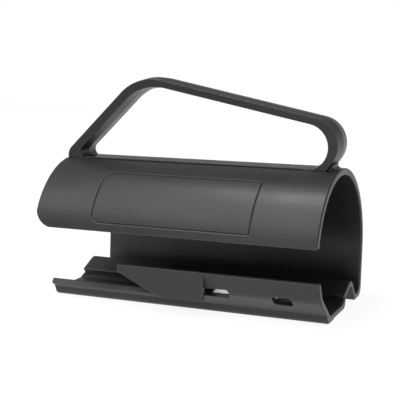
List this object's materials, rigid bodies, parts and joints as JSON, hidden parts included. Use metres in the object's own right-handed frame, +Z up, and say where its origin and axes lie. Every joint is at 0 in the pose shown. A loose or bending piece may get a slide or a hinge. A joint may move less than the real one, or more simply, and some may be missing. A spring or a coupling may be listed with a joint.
{
  "type": "gift wrap paper cutter",
  "caption": "Hand-held cutter that slides over a roll of gift wrap: open C-shaped body with a loop handle, a guarded paper slit and a small steel blade.",
  "frame": {"origin": "on the surface the cutter rests on, under the roll tube's axis and half-way along the body's length", "axes": "+X along the roll tube, -Y towards the open front with its paper slit, +Z up towards the handle"},
  "size_m": [0.121, 0.0686, 0.093],
  "materials": {
    "shell_plastic": "satin",
    "handle_plastic": "satin",
    "carrier_plastic": "matt",
    "blade_steel": "ground",
    "clamp_steel": "rolled"
  },
  "bodies": {
    "shell": {"body_shell": "shell_plastic", "handle": "handle_plastic"},
    "cartridge": {"blade_carrier": "carrier_plastic", "blade": "blade_steel", "blade_clamp": "clamp_steel"}
  },
  "joints": [
    {"name": "cartridge_slide", "type": "slide", "parent": "shell", "child": "cartridge", "axis": [1, 0, 0], "range_m": [0, 0.05]}
  ]
}
